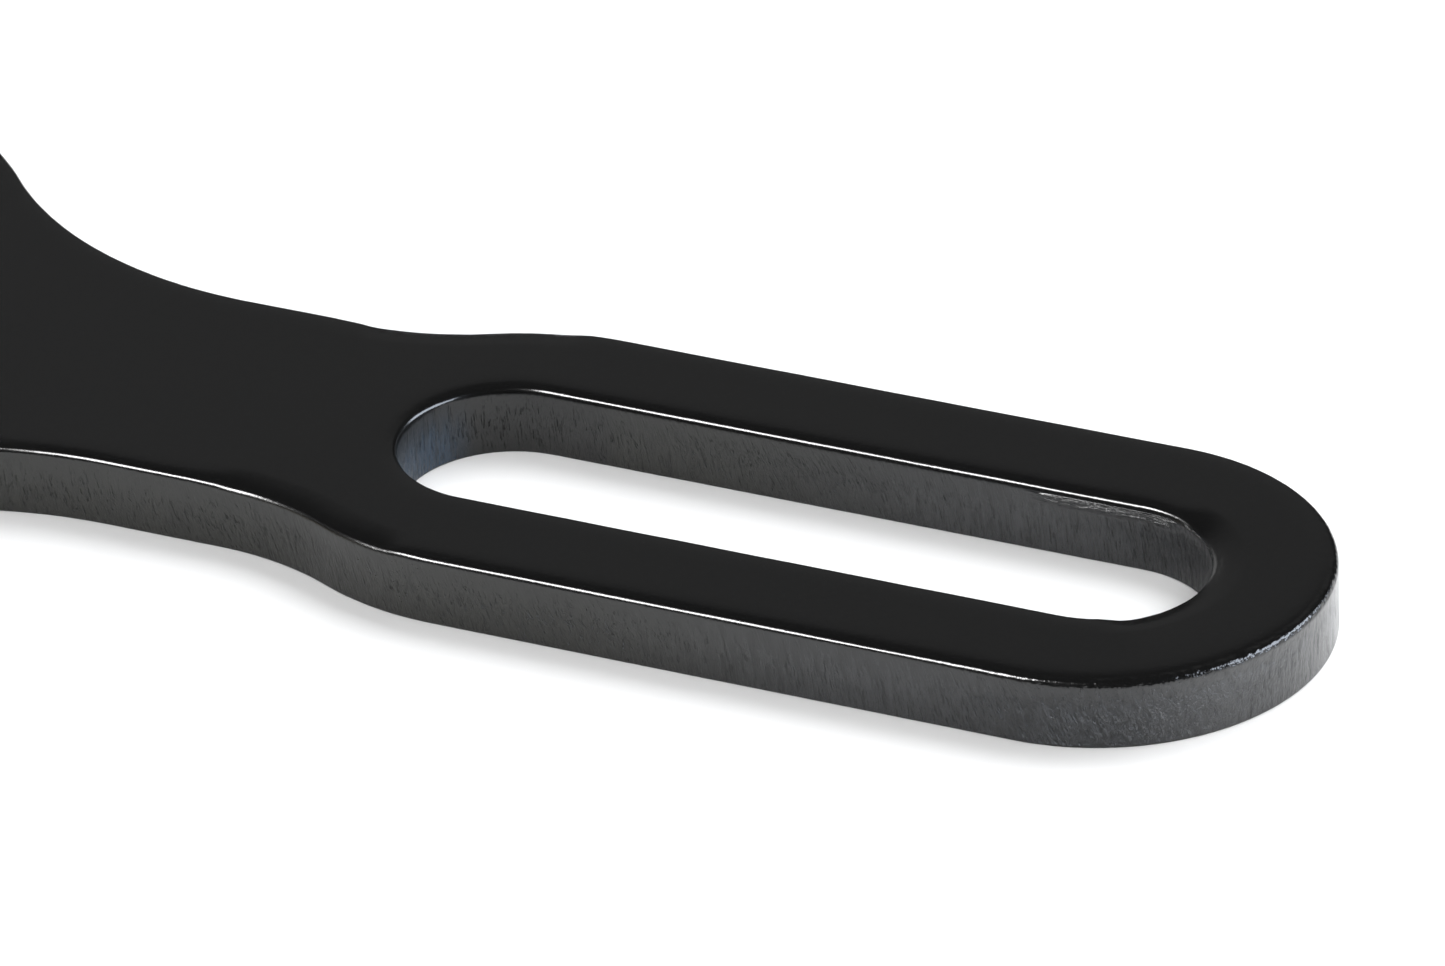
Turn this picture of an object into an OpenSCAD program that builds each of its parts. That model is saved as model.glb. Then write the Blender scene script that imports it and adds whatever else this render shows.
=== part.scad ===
// Strap wrench with a flat steel handle. Millimetres, +Z up.
// The handle runs along +X and the strap loop lies on the -X side. The origin is on the underside
// of the handle plate, in the middle of the neck. The handle plate is also the lower cheek of the
// head: a shorter cheek stands over it on two rear posts and is pinned to it by two shoulder screws
// in front. The webbing runs in the gap between the two.

/* [Handle plate] */
// Thickness of the handle plate
plate_t = 6; // [5:0.5:8]
// Width of the grip
grip_w = 37; // [34:0.5:40]
// Width of the neck
neck_w = 27.5; // [24:0.5:29]
// Middle of the neck to the centre of the grip's round end
grip_end = 74.3; // [70:0.1:110]
// Width of the slot in the grip
slot_w = 17.3; // [12:0.1:19]
// Distance between the centres of the slot's round ends
slot_pitch = 51; // [30:0.5:52]
// Middle of the neck to the middle of the shoulder that widens into the grip
shoulder_mid = 14.7; // [13:0.1:16]
// Radius of both bends of the shoulder
shoulder_r = 24; // [18:0.5:24]
// Middle of the neck to the start of the flare into the head
flare_start = 5.7; // [4:0.1:8]
// Radius of the flare
flare_r = 36; // [30:0.5:38]

/* [Head] */
// Radius of the head's round back
head_r = 38.2; // [37:0.1:40]
// Radius of the two ears that carry the pins
ear_r = 12; // [11.5:0.1:13]
// Thickness of the cheek
cheek_t = 4; // [3:0.5:5]
// Radius of the cheek's round back
cheek_r = 34; // [32:0.5:36]

/* [Pins and posts] */
// Middle of the neck to the two front pins
pin_back = 88; // [86:0.5:92]
// Front pins to the centreline
pin_side = 25; // [24:0.5:26]
// Diameter of both front pins
pin_d = 8; // [7:0.5:9]
// Diameter of the heel roller
roller_d = 14; // [13:0.5:15]
// Number of flutes down the heel roller
flutes = 32; // [20:4:36]
// Middle of the neck to the two rear posts
post_back = 50; // [47:0.5:56]
// Rear posts to the centreline
post_side = 22; // [18:0.5:24]
// Outer diameter of the rear spacers
spacer_d = 12; // [10:0.5:14]
// Thread diameter of every screw
screw_d = 6; // [5:1:6]

/* [Strap] */
// Width of the webbing
strap_w = 25; // [20:1:30]
// Thickness of the webbing
strap_t = 3; // [2.5:0.1:3.2]
// Diameter of the work that the loop fits
work_d = 80; // [76:1:86]
// Middle of the neck to the work's axis, with the loop drawn tight
work_back = 135.5; // [132:0.5:139]
// Way that the front of the loop moves when the tail is pulled
draw = 24; // [16:1:30]
// Turn of the sewn lap round the work, in degrees
lap_turn = 20; // [10:1:22]
// Straight run of the tail, from the heel roller
tail_run = 36; // [30:1:45]
// Radius of the tail's curl
tail_curl_r = 95; // [80:1:140]
// Turn of the tail's curl, in degrees
tail_turn = 24; // [12:1:30]
// Length of the metal clip on the tail's end
clip_l = 14; // [10:1:18]

/* [Hidden] */
$fn = 72;

steel_black = [0.09, 0.09, 0.1];
zinc = [0.72, 0.73, 0.74];
webbing = [0.78, 0.72, 0.58];
brass = [0.78, 0.62, 0.3];

past = 1;          // how far a cutter runs past the face it cuts
ease = 0.3;        // degrees that an arc of the plates stops short of the next
proud = 0.001;     // arcs stand this far off their chords' ends, so that the two never nearly touch
fit_gap = 0.05;    // radial play of a shaft in its hole
slip = 0.15;       // strap to anything that moves against it
side_play = 0.5;   // strap's edge to each plate

// Heights.
gap_h = strap_w + 2 * side_play;
strap_z = plate_t + side_play;
cheek_z = plate_t + gap_h;
top_z = cheek_z + cheek_t;
thrust_t = 0.5;

// Fasteners: lock nut and plain washer, countersunk head, and shoulder screw head.
nut_flats = 10;
nut_h = 6;
washer_d = 12;
washer_t = 1.6;
sunk_d = 12;
hex_key = 4;
shoulder_head_d = 13;
shoulder_head_h = 5.5;
chamfer = 0.5;
flute_r = 0.5;
flute_depth = 0.3;

// Places, from the middle of the neck.
work_r = work_d / 2;
wrap_r = roller_d / 2 + slip;
anchor = [-pin_back, pin_side];
heel = [-pin_back, -pin_side];
tight = [-work_back, 0];
pinch = norm(anchor - tight);  // work's axis to each pin's axis, when the loop is tight
loose = [tight.x - draw, 0];
flare_c = [-flare_start, neck_w / 2 + flare_r];
head_c = [flare_c.x - sqrt(pow(flare_r + head_r, 2) - pow(flare_c.y, 2)), 0];

// ---- Outlines ----
// A closed outline is a list of arcs, [centre, radius, first angle, last angle], that straight lines join.
// It runs anticlockwise round its shape, so an arc with a falling angle is a hollow one.

function polar(c, r, a) = [c.x + r * cos(a), c.y + r * sin(a)];
function bearing(from, to) = atan2(to.y - from.y, to.x - from.x);
function first(a) = polar(a[0], a[1], a[2]);
function last(a) = polar(a[0], a[1], a[3]);
function mirrored(half) = [for (i = [len(half) - 1:-1:0])
    [[half[i][0].x, -half[i][0].y], half[i][1], -half[i][3], -half[i][2]]];
// Two arcs that run into each other both stop a little short, and a short flat joins them.
function eased(arcs) = [for (a = arcs)
    [a[0], a[1], a[2] + ease * sign(a[3] - a[2]), a[3] - ease * sign(a[3] - a[2])]];

module shape(arcs) {
    ends = [for (a = arcs) each [first(a), last(a)]];
    n = len(ends);
    difference() {
        union() {
            polygon([for (i = [0:n - 1]) if (norm(ends[i] - ends[(i + 1) % n]) > 0.001) ends[i]]);
            for (a = arcs)
                if (a[3] > a[2]) segment(a);
        }
        for (a = arcs)
            if (a[3] < a[2]) segment(a);
    }
}

// The piece of a disc between an arc and its chord.
module segment(a) {
    far = 3 * a[1];
    intersection() {
        translate(a[0]) circle(a[1] + proud, $fn = 180);
        polygon([
            first(a), polar(a[0], far, a[2]), polar(a[0], far, (a[2] + a[3]) / 2),
            polar(a[0], far, a[3]), last(a),
        ]);
    }
}

// The left half of either plate, from its round back over the ear to the hollow nose.
// The hollow is about the work's axis, and the ears run into it without a corner.
anchor_a = bearing(tight, anchor);
nose_arc = [tight, pinch - ear_r, anchor_a, -anchor_a];
function ear_start(back_r) = bearing(head_c, anchor) - acos((back_r - ear_r) / norm(anchor - head_c));
function ear_arc(back_r) = [anchor, ear_r, ear_start(back_r), 180 + anchor_a];

shoulder_turn = acos(1 - (grip_w - neck_w) / 4 / shoulder_r);
shoulder_half_l = shoulder_r * sin(shoulder_turn);
flare_turn = acos(flare_c.y / (flare_r + head_r));
handle_half = [
    [[shoulder_mid + shoulder_half_l, grip_w / 2 - shoulder_r], shoulder_r, 90, 90 + shoulder_turn],
    [[shoulder_mid - shoulder_half_l, neck_w / 2 + shoulder_r], shoulder_r, shoulder_turn - 90, -90],
    [flare_c, flare_r, -90, -90 - flare_turn],
    [head_c, head_r, 90 - flare_turn, ear_start(head_r)],
    ear_arc(head_r),
];
grip_end_arc = [[grip_end, 0], grip_w / 2, -90, 90];
handle_arcs = concat([grip_end_arc], eased(concat(handle_half, [nose_arc], mirrored(handle_half))));
cheek_back_arc = [head_c, cheek_r, -ear_start(cheek_r), ear_start(cheek_r)];
cheek_arcs = eased(concat([cheek_back_arc, ear_arc(cheek_r), nose_arc], mirrored([ear_arc(cheek_r)])));
slot_arcs = [
    [[grip_end, 0], slot_w / 2, -90, 90],
    [[grip_end - slot_pitch, 0], slot_w / 2, 90, 270],
];

// ---- Shapes that repeat ----

// A disc or tube with chamfered ends.
module turned(d, h, bore = 0, cut = chamfer) {
    rotate_extrude()
        polygon([
            [bore / 2, 0], [d / 2 - cut, 0], [d / 2, cut],
            [d / 2, h - cut], [d / 2 - cut, h], [bore / 2, h],
        ]);
}

module hex_socket(depth) {
    cylinder(d = hex_key / cos(30), h = depth + past, $fn = 6);
}

// Webbing that lies on edge, cut to an outline.
module web(arcs) {
    color(webbing) translate([0, 0, strap_z]) linear_extrude(strap_w) shape(arcs);
}

// Webbing bent to one arc about c. r is the radius of its inner face.
module web_arc(c, r, from, to) {
    web([[c, r + strap_t, from, to], [c, r, to, from]]);
}

// Places its children on the left (+Y) or right (-Y) rear post.
module at_post(side) {
    translate([-post_back, side * post_side, 0]) children();
}

// ---- Plates ----

module handle_plate() {
    color(steel_black)
        difference() {
            linear_extrude(plate_t) shape(handle_arcs);
            translate([0, 0, -past]) linear_extrude(plate_t + 2 * past) shape(slot_arcs);
            for (pin = [anchor, heel])
                translate([pin.x, pin.y, -past]) cylinder(d = screw_d, h = plate_t + 2 * past);
            for (side = [-1, 1])
                at_post(side) sunk_hole();
        }
}

// Countersunk from the underside, so that the wrench lies flat.
module sunk_hole() {
    bore_d = screw_d + 4 * fit_gap;
    sink = (sunk_d - bore_d) / 2 + 4 * fit_gap;
    translate([0, 0, -past]) cylinder(d = bore_d, h = plate_t + 2 * past);
    translate([0, 0, -fit_gap]) cylinder(r1 = sunk_d / 2 + 5 * fit_gap, r2 = bore_d / 2, h = sink + fit_gap);
}

module cheek_plate() {
    color(steel_black)
        translate([0, 0, cheek_z])
            difference() {
                linear_extrude(cheek_t) shape(cheek_arcs);
                for (pin = [anchor, heel])
                    translate([pin.x, pin.y, -past])
                        cylinder(d = pin_d + 2 * fit_gap, h = cheek_t + 2 * past);
                for (side = [-1, 1])
                    at_post(side)
                        translate([0, 0, -past])
                            cylinder(d = screw_d + 4 * fit_gap, h = cheek_t + 2 * past);
            }
}

// ---- Rear posts ----

module rear_spacer(side) {
    color(zinc)
        at_post(side)
            translate([0, 0, plate_t]) turned(spacer_d, gap_h, screw_d + 6 * fit_gap);
}

module rear_screw(side) {
    tip_z = top_z + washer_t + nut_h + 1;
    head_h = (sunk_d - screw_d) / 2;
    color(zinc)
        at_post(side)
            difference() {
                rotate_extrude()
                    polygon([
                        [0, 0.1], [sunk_d / 2, 0.1], [screw_d / 2, head_h + 0.1],
                        [screw_d / 2, tip_z - chamfer], [screw_d / 2 - chamfer, tip_z], [0, tip_z],
                    ]);
                translate([0, 0, 2.3]) mirror([0, 0, 1]) hex_socket(2.3);
            }
}

module rear_washer(side) {
    color(zinc)
        at_post(side)
            translate([0, 0, top_z]) turned(washer_d, washer_t, screw_d + 6 * fit_gap, 0.2);
}

// Lock nut: a hexagon with both ends chamfered and a round collar that holds the insert.
module rear_nut(side) {
    hex_h = nut_h - 1.2;
    across = nut_flats / cos(30);
    color(zinc)
        at_post(side)
            translate([0, 0, top_z + washer_t])
                difference() {
                    union() {
                        intersection() {
                            cylinder(d = across, h = hex_h, $fn = 6);
                            turned(across, hex_h, 0, 0.6);
                        }
                        translate([0, 0, hex_h]) turned(nut_flats - 1, nut_h - hex_h, 0, 0.6);
                    }
                    translate([0, 0, -past]) cylinder(d = screw_d + 2 * fit_gap, h = nut_h + 2 * past);
                }
}

// ---- Front pins ----

// Shoulder screw: its thread is in the handle plate, and its shoulder spans the gap and the cheek.
module shoulder_screw(at) {
    thread_r = screw_d / 2 - fit_gap;
    cap_r = shoulder_head_d / 2;
    cap_z = top_z + shoulder_head_h;
    color(zinc)
        translate([at.x, at.y, 0])
            difference() {
                rotate_extrude()
                    polygon([
                        [0, 0.2], [thread_r - chamfer, 0.2], [thread_r, 0.2 + chamfer], [thread_r, plate_t],
                        [pin_d / 2, plate_t], [pin_d / 2, top_z],
                        [cap_r, top_z], [cap_r, cap_z - chamfer], [cap_r - chamfer, cap_z], [0, cap_z],
                    ]);
                translate([0, 0, cap_z - 3]) hex_socket(3);
            }
}

module heel_washer(z) {
    color(brass)
        translate([heel.x, heel.y, z]) turned(roller_d - 1, thrust_t, pin_d + 2 * fit_gap, 0.1);
}

// The flutes let the webbing turn the roller.
module heel_roller() {
    h = gap_h - 2 * thrust_t - 2 * fit_gap;
    flute_out = roller_d / 2 + flute_r - flute_depth;
    color(zinc)
        translate([heel.x, heel.y, plate_t + thrust_t + fit_gap])
            difference() {
                turned(roller_d, h, pin_d + 2 * fit_gap);
                for (i = [0:flutes - 1])
                    rotate((i + 0.5) * 360 / flutes)
                        translate([flute_out, 0, -past]) cylinder(r = flute_r, h = h + 2 * past);
            }
}

// ---- Strap ----

// The strap is folded back round the anchor pin and sewn to itself. The sewn lap runs on to the
// work and a little way round it, and the inner layer goes on as the loop.
eye_r = pin_d / 2 + 0.2;
fold_a = anchor_a + acos((work_r + strap_t) / pinch);  // from the work's axis to where the lap meets it
fork = 14;
fork_half_a = acos((eye_r + strap_t) / norm([fork, strap_t])) + atan2(strap_t, fork);
crotch = eye_r / cos(fork_half_a);

// A place in the eye's frame: along is the way from the pin to the work, out is away from the work.
function in_eye(along, out) = polar(polar(anchor, along, fold_a + 90), out, fold_a);
function at(p) = [p, 0, 0, 0];

module strap_eye() {
    round_a = fold_a + 90;
    pin_wrap = [anchor, eye_r, round_a + fork_half_a, round_a + 360 - fork_half_a];
    difference() {
        web([
            [anchor, eye_r + strap_t, round_a + fork_half_a, round_a + 360 - fork_half_a],
            at(in_eye(fork, strap_t)),
            [tight, work_r + 2 * strap_t, fold_a, fold_a + lap_turn],
            [tight, work_r + strap_t, fold_a + lap_turn, 90],
            [tight, work_r, 90, fold_a],
            at(in_eye(fork, -strap_t)),
        ]);
        translate([0, 0, -past])
            linear_extrude(strap_z + strap_w + 2 * past)
                shape([pin_wrap, at(in_eye(crotch, 0))]);
    }
}

module strap_side(side) {
    y = side > 0 ? work_r : -work_r - strap_t;
    color(webbing)
        translate([loose.x + fit_gap, y, strap_z]) cube([draw - 2 * fit_gap, strap_t, strap_w]);
}

// The strap comes off the work, passes between the work and the heel roller, and turns out round it.
entry_cross = acos((work_r + wrap_r + strap_t) / pinch);
entry_a = -anchor_a - entry_cross;

module strap_entry() {
    web([
        [tight, work_r + strap_t, -90, entry_a],
        [heel, wrap_r, 180 + entry_a, 0],
        [heel, wrap_r + strap_t, 0, 180 + entry_a],
        [tight, work_r, entry_a, -90],
    ]);
}

tail_x = heel.x + wrap_r;
tail_y = heel.y - tail_run;

module strap_tail_run() {
    color(webbing)
        translate([tail_x, tail_y + fit_gap, strap_z]) cube([strap_t, tail_run - 2 * fit_gap, strap_w]);
}

// The end of the tail's curl, with +Y back along the strap.
curl_c = [tail_x - tail_curl_r, tail_y];
tail_end = polar(curl_c, tail_curl_r, -tail_turn);
crimp_l = clip_l - 1;
function past_curl(out) =
    [polar(curl_c, tail_curl_r + out, -tail_turn).x - crimp_l * sin(tail_turn),
        polar(curl_c, tail_curl_r + out, -tail_turn).y - crimp_l * cos(tail_turn)];

module strap_tail() {
    web([
        [curl_c, tail_curl_r + strap_t, -tail_turn, 0],
        [curl_c, tail_curl_r, 0, -tail_turn],
        at(past_curl(0)), at(past_curl(strap_t)),
    ]);
}

// A strip of sheet metal, folded over the end of the strap and crimped.
clip_t = 0.8;
module tail_clip() {
    w = strap_t + 2 * clip_t;
    color(zinc)
        translate([tail_end.x, tail_end.y, strap_z])
            rotate(-tail_turn)
                linear_extrude(strap_w)
                    difference() {
                        shape([
                            [[w - 2 * clip_t, -crimp_l], clip_t, -90, 0],
                            at([w - clip_t, 0]), at([-clip_t, 0]),
                            [[0, -crimp_l], clip_t, 180, 270],
                        ]);
                        translate([0, -crimp_l]) square([strap_t, crimp_l + past]);
                    }
}

handle_plate();
cheek_plate();
rear_spacer(1);  // rear_spacer_left
rear_spacer(-1);  // rear_spacer_right
rear_screw(1);  // rear_screw_left
rear_screw(-1);  // rear_screw_right
rear_washer(1);  // rear_washer_left
rear_washer(-1);  // rear_washer_right
rear_nut(1);  // rear_nut_left
rear_nut(-1);  // rear_nut_right
shoulder_screw(anchor);  // anchor_screw
shoulder_screw(heel);  // heel_screw
heel_roller();
heel_washer(plate_t);  // heel_washer_lower
heel_washer(cheek_z - thrust_t);  // heel_washer_upper
strap_eye();
strap_side(1);  // strap_side_left
web_arc(loose, work_r, 90, 270);  // strap_front
strap_side(-1);  // strap_side_right
strap_entry();
strap_tail_run();
strap_tail();
tail_clip();
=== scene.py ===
# %% [markdown]
# # A strap wrench
# The tool is a flat bar of black steel with a slot in its grip. Its far end widens into a round
# head, where a second, smaller plate stands over the bar on two posts. A band of thick webbing
# runs in the gap between the plates: it starts at a sewn eye on one screw, goes round the work,
# and leaves round a roller on the other screw. Pulling its tail draws the loop tight.
#
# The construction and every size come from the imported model. This script gives each piece its
# real surface: rounded rims, knurls, sockets, woven yarns and stitches. All sizes are in
# millimetres, and MM turns them into the metres that Blender works in.

# %% The frame
import math

import bmesh
import bpy
import numpy as np
from mathutils import Matrix, Quaternion, Vector


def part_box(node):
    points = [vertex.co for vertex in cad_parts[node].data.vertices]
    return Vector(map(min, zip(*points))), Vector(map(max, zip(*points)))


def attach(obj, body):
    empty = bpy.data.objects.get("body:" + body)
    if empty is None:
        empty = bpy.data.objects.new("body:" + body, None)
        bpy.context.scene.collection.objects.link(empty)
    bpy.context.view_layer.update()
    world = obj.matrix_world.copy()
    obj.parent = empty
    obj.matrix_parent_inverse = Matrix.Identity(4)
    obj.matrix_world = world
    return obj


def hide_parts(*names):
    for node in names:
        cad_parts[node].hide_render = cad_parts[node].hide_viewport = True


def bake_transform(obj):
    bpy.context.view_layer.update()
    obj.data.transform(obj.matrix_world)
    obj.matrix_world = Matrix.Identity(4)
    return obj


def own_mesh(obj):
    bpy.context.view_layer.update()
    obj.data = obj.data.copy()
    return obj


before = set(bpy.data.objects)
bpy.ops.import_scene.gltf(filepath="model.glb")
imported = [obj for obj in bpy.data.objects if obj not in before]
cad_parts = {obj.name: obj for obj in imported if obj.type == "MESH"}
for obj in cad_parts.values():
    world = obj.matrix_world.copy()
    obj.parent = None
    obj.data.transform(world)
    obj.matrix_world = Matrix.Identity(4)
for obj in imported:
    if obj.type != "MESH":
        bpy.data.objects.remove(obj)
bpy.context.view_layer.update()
MM = 0.001

# %% [markdown]
# ## Sizes
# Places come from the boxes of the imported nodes: the two front pins, the two rear posts and the
# heights of the plates. The outline of the bar is drawn again below, so the few radii and widths
# that shape it are repeated here. `tight` is the middle of the work when the loop is drawn in.

# %% Places and sizes


def node_box(node):
    """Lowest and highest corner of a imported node, in millimetres."""
    low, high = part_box(node)
    return low / MM, high / MM


def middle(node):
    """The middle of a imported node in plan, to a tenth of a millimetre."""
    low, high = node_box(node)
    return Vector(round(c, 1) for c in (low + high) / 2).xy


def levels_of(node):
    """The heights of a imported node's underside and top, in millimetres."""
    return [corner.z for corner in node_box(node)]


anchor = middle("anchor_screw")
heel = middle("heel_screw")
posts = {side: middle(f"rear_spacer_{side}") for side in ("left", "right")}
plate_t = levels_of("handle_plate")[1]
cheek_z, top_z = levels_of("cheek_plate")
strap_low, strap_high = levels_of("strap_front")
strap_w = strap_high - strap_low

grip_w, neck_w = 37, 27.5
grip_end, slot_w, slot_pitch = 74.3, 17.3, 51
shoulder_mid, shoulder_r = 14.7, 24
flare_start, flare_r = 5.7, 36
head_r, cheek_r, ear_r = 38.2, 34, 12
pin_d, screw_d = 8, 6
slot_end, slot_start = grip_end, grip_end - slot_pitch
work_r, strap_t = 40, 3
tight = Vector((-135.5, 0))
side_l, front_travel = 24, 23.5
print("front pins at", anchor[:], heel[:], "strap width", round(strap_w, 2))

# %% [markdown]
# ## Working by operator
# Every piece starts as a primitive and is shaped in edit mode, as by hand. Small helpers keep
# the steps readable. `only` makes one object the selected and active one, because an operator
# acts on all that is selected. `edit` opens it for shaping. `pick` selects the vertices, edges
# or faces that pass a test. `weld` and `face_out` end most shapes: they close the seams and
# turn every face outwards.

# %% Helpers for shaping


def nothing_selected():
    """Clears the way for a new primitive, which comes selected."""
    bpy.ops.object.select_all(action="DESELECT")


def only(obj):
    nothing_selected()
    obj.select_set(True)
    bpy.context.view_layer.objects.active = obj
    return obj


def named(name):
    """Names the object that an operator has just added."""
    obj = bpy.context.object
    obj.name = obj.data.name = name
    return obj


def edit(obj):
    only(obj)
    bpy.ops.object.mode_set(mode="EDIT")


def done():
    bpy.ops.object.mode_set(mode="OBJECT")


def pick(test, kind="FACE"):
    """Selects what passes the test in the mesh being edited, and says how many that is."""
    bpy.ops.mesh.select_mode(type=kind)
    bpy.ops.mesh.select_all(action="DESELECT")
    mesh = bmesh.from_edit_mesh(bpy.context.object.data)
    found = [e for e in {"VERT": mesh.verts, "EDGE": mesh.edges, "FACE": mesh.faces}[kind] if test(e)]
    for element in found:
        element.select_set(True)
    bmesh.update_edit_mesh(bpy.context.object.data)
    return len(found)


def all_of_it():
    bpy.ops.mesh.select_all(action="SELECT")


def weld(play):
    """Merges vertices that are no further apart than so many millimetres."""
    all_of_it()
    bpy.ops.mesh.remove_doubles(threshold=play * MM)


def face_out():
    all_of_it()
    bpy.ops.mesh.normals_make_consistent(inside=False)


def modify(obj, kind, **settings):
    """Adds a modifier, sets it and applies it."""
    only(obj)
    modifier = obj.modifiers.new(kind.title(), kind)
    for name, value in settings.items():
        setattr(modifier, name, value)
    bpy.ops.object.modifier_apply(modifier=modifier.name)
    return obj


def cut(obj, tool, operation="DIFFERENCE"):
    """Cuts obj with tool, or keeps what both share, and throws the tool away."""
    modify(obj, "BOOLEAN", operation=operation, solver="EXACT", object=tool)
    bpy.data.objects.remove(tool)
    return obj


def prism(name, sides, radius, low, high, at):
    """A plain upright prism, used as a cutter."""
    nothing_selected()
    bpy.ops.mesh.primitive_cylinder_add(
        vertices=sides, radius=radius * MM, depth=(high - low) * MM,
        location=(at[0] * MM, at[1] * MM, (low + high) / 2 * MM),
    )
    bpy.ops.object.transform_apply()
    return named(name)


# %% [markdown]
# ## A pen for outlines
# The bar's outline is made of straight lines and arcs that run into each other. A pen draws it:
# one vertex is put down, an extrude draws a straight line from it, and a spin draws an arc. The
# last vertex stays selected, so each stroke starts where the one before ended. Arcs are cut into
# short steps, so that the punched edge is smooth and takes a fine highlight. No operator adds a
# lone vertex, so a tiny plane is merged at its centre.

# %% The pen
ARC_STEP = 0.8


def lone_vertex(x, y, z):
    bpy.ops.mesh.primitive_plane_add(size=MM, location=(0, 0, 0), enter_editmode=True)
    bpy.ops.mesh.merge(type="CENTER")
    bpy.ops.transform.translate(value=(x * MM, y * MM, z * MM))


def pen_down(name, x, y, z):
    """Starts an outline in a new object."""
    nothing_selected()
    lone_vertex(x, y, z)
    return named(name)


def pen_moved(x, y, z):
    """Lifts the pen and starts another line in the same object."""
    bpy.ops.mesh.select_all(action="DESELECT")
    lone_vertex(x, y, z)


def pen_at():
    mesh = bmesh.from_edit_mesh(bpy.context.object.data)
    return next(v.co for v in mesh.verts if v.select) / MM


def line_to(x, y, z=None):
    """Draws one straight edge, at the pen's height where no other is given."""
    here = pen_at()
    way = Vector((x, y, here.z if z is None else z)) - here
    bpy.ops.mesh.extrude_region_move(TRANSFORM_OT_translate={"value": way * MM})


def arc_about(x, y, turn, step=ARC_STEP):
    """Draws an arc about a centre. turn is in degrees, anticlockwise when positive."""
    here = pen_at()
    radius = math.hypot(here.x - x, here.y - y)
    steps = max(4, round(radius * abs(math.radians(turn)) / step))
    centre = (x * MM, y * MM, here.z * MM)
    bpy.ops.mesh.spin(steps=steps, angle=-math.radians(turn), center=centre, axis=(0, 0, 1))


# %% [markdown]
# ## Turned pieces
# Screws, washers, spacers and the roller are turned on a lathe, so each is a half profile spun
# round its own axis. The profile's corners are bevelled before the spin, which gives every rim
# its small radius in one step. A profile that starts and ends on the axis makes a solid, and a
# closed one makes a ring.

# %% Turning


def turned(name, at, profile, ring=False, steps=64, rounding=0.15):
    """Spins a profile of (radius, height) points about the upright axis at a place."""
    first = profile[0]
    obj = pen_down(name, at[0] + first[0], at[1], first[1])
    for radius, height in profile[1:] + (profile[:1] if ring else []):
        line_to(at[0] + radius, at[1], height)
    weld(0.001)
    if rounding:
        pick(lambda v: len(v.link_edges) == 2, "VERT")
        bpy.ops.mesh.bevel(offset=rounding * MM, segments=2, affect="VERTICES", clamp_overlap=True)
    all_of_it()
    bpy.ops.mesh.spin(steps=steps, angle=math.tau, center=(at[0] * MM, at[1] * MM, 0), axis=(0, 0, 1))
    weld(0.002)
    face_out()
    done()
    return obj


def grooved(obj, at, every, steps, share, where):
    """Moves every so-many-th line of vertices towards the axis, which cuts straight grooves."""

    def in_groove(v):
        p = v.co / MM
        line = round(math.atan2(p.y - at[1], p.x - at[0]) / math.tau * steps)
        return where(p) and (line + every // 2) % every == 0

    edit(obj)
    found = pick(in_groove, "VERT")
    bpy.ops.transform.resize(value=(share, share, 1), center_override=(at[0] * MM, at[1] * MM, 0))
    done()
    return found


# %% [markdown]
# ## Shader sums
# A material is a small set of sums on the place of a point. Written as nodes they are hard to
# read, so a `Value` wraps a socket and lets plain arithmetic add the Math nodes. Any other node
# comes from one method, which takes the node's type, its settings and the values of its sockets.

# %% Shader helpers


class Value:
    """One output socket of a material, in arithmetic."""

    def __init__(self, shader, socket):
        self.shader, self.socket = shader, socket

    def part(self, name):
        return Value(self.shader, self.socket.node.outputs[name])

    def __add__(self, other):
        return self.shader.maths("ADD", self, other)

    def __mul__(self, other):
        return self.shader.maths("MULTIPLY", self, other)

    def __sub__(self, other):
        return self.shader.maths("SUBTRACT", self, other)

    def __rsub__(self, other):
        return self.shader.maths("SUBTRACT", other, self)

    __radd__, __rmul__ = __add__, __mul__


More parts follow.
